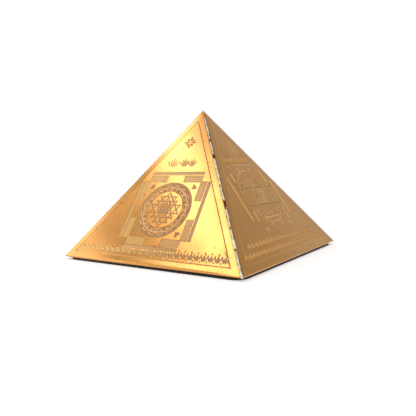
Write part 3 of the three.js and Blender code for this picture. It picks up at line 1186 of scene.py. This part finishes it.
def makeSolder():
    look = solderLook
    material, tree, shader = newMaterial("tinSolder")
    place = objectPlace(tree)
    mottled = useGroup(tree, mottle, Place=place, **look["clouds"])
    metal = mixColour(tree, mottled["Clouds"], look["tin"], look["dull"])
    height = addNode(tree, "ShaderNodeSeparateXYZ", {"Vector": place}).outputs["Z"]
    lacquer = addMath(tree, "SUBTRACT", spread(tree, height, *look["lacquerLow"]),
                      spread(tree, height, *look["lacquerHigh"]), clamp=True)
    metal = mixColour(tree, lacquer, metal, look["lacquered"])
    breaks = spread(tree, noiseValue(tree, place, *look["breakNoise"]), *look["breaks"])
    breaks = addMath(tree, "MULTIPLY", breaks, attribute(tree, "flecks"))
    setInputs(tree, shader, {"Base Color": mixColour(tree, breaks, metal, look["copper"]),
                             "Roughness": spread(tree, mottled["Grain"], 0, 1, *look["roughness"]),
                             "Metallic": 1.0})
    addBump(tree, shader, mottled["Grain"], *look["bump"])
    return material


feltLook = {
    "clouds": {"Scale": 300.0, "Contrast": 2.0},
    "pattern": "Clouds",
    "colours": (linear(20, 17, 14), linear(40, 33, 27)),
    "shader": {"Roughness": 0.95, "Sheen Weight": 0.15},
    "bump": (0.6, 0.2),
}
boardLook = {
    "clouds": {"Scale": 240.0, "Contrast": 2.4},
    "pattern": "Grain",
    "colours": (linear(148, 112, 76), linear(104, 76, 50)),
    "shader": {"Roughness": 0.85},
    "bump": (0.4, 0.2),
}


def makeFibrous(name, look):
    material, tree, shader = newMaterial(name)
    fibres = useGroup(tree, mottle, Place=objectPlace(tree), **look["clouds"])
    colour = mixColour(tree, fibres[look["pattern"]], *look["colours"])
    setInputs(tree, shader, {"Base Color": colour, **look["shader"]})
    addBump(tree, shader, fibres["Grain"], *look["bump"])
    return material


copper, solder = makeCopper(), makeSolder()
felt, fibre = makeFibrous("darkFelt", feltLook), makeFibrous("fibreBoard", boardLook)
for piece, nodeName in ((frontSheet, "front_sheet"), (rightSheet, "right_sheet"),
                        (backSheet, "back_sheet"), (leftSheet, "left_sheet")):
    finishPiece(piece, nodeName, copper)
for nodeName, piece in seams.items():
    finishPiece(piece, nodeName, solder)
finishPiece(tip, "tip_cap", solder)
finishPiece(pad, "base_pad", felt)
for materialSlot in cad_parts["base_board"].material_slots:
    materialSlot.material = fibre
print("materials made")


# Floor, cards, lights and camera

studio = {
    "floor": {"Base Color": (0.8, 0.8, 0.8, 1), "Roughness": 0.9, "Specular IOR Level": 0.0,
              "Emission Color": (1, 1, 1, 1)},
    "floorSize": 8.0,
    "floorGlow": 0.32,
    "worldDiffuse": 0.9,
    "cardTint": (1.0, 1.03, 0.92),
}


def seenFactor(tree):
    # 1 for rays that look at the surroundings: from the camera, in a reflection or through glass
    rays = addNode(tree, "ShaderNodeLightPath").outputs
    first = addMath(tree, "MAXIMUM", rays["Is Camera Ray"], rays["Is Glossy Ray"])
    return addMath(tree, "MAXIMUM", first, rays["Is Transmission Ray"])


def makeFloor():
    clearSelection()
    floor = makeNamed("floor", bpy.ops.mesh.primitive_plane_add, size=studio["floorSize"])
    material, tree, shader = newMaterial("paleFloor")
    glow = addMath(tree, "MULTIPLY", seenFactor(tree), studio["floorGlow"])
    setInputs(tree, shader, {**studio["floor"], "Emission Strength": glow})
    floor.data.materials.append(material)


def makeWorld():
    world = bpy.data.worlds.new("studio")
    world.use_nodes = True
    tree = world.node_tree
    tree.nodes.clear()
    shaders = {0: seenFactor(tree)}
    for number, strength in ((1, studio["worldDiffuse"]), (2, 1.0)):
        white = addNode(tree, "ShaderNodeBackground", {"Color": (1, 1, 1, 1), "Strength": strength})
        shaders[number] = white.outputs[0]
    mixed = addNode(tree, "ShaderNodeMixShader", shaders).outputs[0]
    addNode(tree, "ShaderNodeOutputWorld", {"Surface": mixed})
    bpy.context.scene.world = world


rightCardLook = {
    "toward": (0.257, 0.821, 0.42),
    "distance": 0.9,
    "size": (1.6, 1.1),
    "glow": 0.7,
    "farGlow": 0.54,  # at the end that the far foot corner mirrors
    "nearGlow": 0.5,  # and at the end that the near seam mirrors
    "slant": (0.729, -0.479, 0.489),
    "rise": (-0.111, -0.044),
    "fall": (-0.027, 0.009),
}
leftCardLook = {
    "toward": (-1.05, -0.5, 1),
    "distance": 2.6,
    "size": (0.3, 2.0),
    "tilt": (0, math.atan2(-1.05, 1), 0),
    "glow": 0.6,
}


def makeCard(name, look, glowOf):
    # Metal mirrors a card, but the camera doesn't see it
    clearSelection()
    card = makeNamed(name, bpy.ops.mesh.primitive_plane_add, size=1.0)
    card.scale = (*look["size"], 1)
    toward = Vector(look["toward"]).normalized()
    card.location = toward * look["distance"]
    card.rotation_euler = look.get("tilt") or (-toward).to_track_quat("Z", "Y").to_euler()
    applyPlace(card)
    material, tree, shader = newMaterial(name)
    setInputs(tree, shader, {"Base Color": (0, 0, 0, 1), "Specular IOR Level": 0.0,
                             "Emission Color": (*studio["cardTint"], 1),
                             "Emission Strength": glowOf(tree, look)})
    card.data.materials.append(material)
    card.visible_camera = card.visible_diffuse = card.visible_shadow = False


def fadingGlow(tree, look):
    # It glows less towards both of its ends, measured along a slanting line on it
    along = addNode(tree, "ShaderNodeVectorMath", {0: objectPlace(tree), 1: look["slant"]},
                    operation="DOT_PRODUCT").outputs["Value"]
    rising = spread(tree, along, *look["rise"], look["farGlow"], look["glow"])
    falling = spread(tree, along, *look["fall"], 0.0, look["glow"] - look["nearGlow"])
    return addMath(tree, "SUBTRACT", rising, falling)


# Lamps, as place in metres, turn about the own face in degrees, width, length, watts
lamps = {
    "softbox": ((-1.82, -1.22, 2.44), 9.5, 0.29, 2.7, 9.0),
    "fill": ((-2.57, -1.1, 1.54), 0.0, 0.72, 2.0, 6.0),
}


def makeLamp(name, place, turn, width, length, watts):
    lamp = bpy.data.lights.new(name, "AREA")
    lamp.shape = "RECTANGLE"
    lamp.size, lamp.size_y, lamp.energy = width, length, watts
    softbox = linkNew(name, lamp)
    softbox.location = place
    # It is turned about its own face, then tilted about the y axis towards the pyramid
    softbox.rotation_mode = "ZYX"
    softbox.rotation_euler = (0, math.atan2(place[0], place[2]), math.radians(turn))


makeFloor()
makeWorld()
makeCard("rightCard", rightCardLook, fadingGlow)
makeCard("leftCard", leftCardLook, lambda tree, look: look["glow"])
for lampName, lampLook in lamps.items():
    makeLamp(lampName, *lampLook)
print("studio made")

cameraFit = {
    "angles": (34.24, 4.0, -1.33),  # azimuth, elevation, roll
    "distance": 247.9,
    "aimHeight": padHeight + 25,
    "focalPixels": 486.0,
    "pictureSide": 416,
    "sensor": 36.0,
    "centre": (205.2, 199.75),  # where the lens's axis meets the picture
    "clip": (0.01, 50),
}


def makeCamera():
    azimuth, elevation, roll = (math.radians(angle) for angle in cameraFit["angles"])
    turn = (Matrix.Rotation(azimuth, 4, "Z") @ Matrix.Rotation(math.pi / 2 - elevation, 4, "X")
            @ Matrix.Rotation(roll, 4, "Z"))
    lens = bpy.data.cameras.new("camera")
    side = cameraFit["pictureSide"]
    lens.sensor_width = cameraFit["sensor"]
    lens.lens = cameraFit["focalPixels"] / side * cameraFit["sensor"]
    lens.shift_x = (side / 2 - cameraFit["centre"][0]) / side
    lens.shift_y = (cameraFit["centre"][1] - side / 2) / side
    lens.clip_start, lens.clip_end = cameraFit["clip"]
    camera = linkNew("camera", lens)
    place = Vector((0, 0, cameraFit["aimHeight"])) + turn @ Vector((0, 0, cameraFit["distance"]))
    camera.matrix_world = Matrix.Translation(place * mm) @ turn
    bpy.context.scene.camera = camera


makeCamera()
bpy.context.scene.view_settings.view_transform = "Standard"
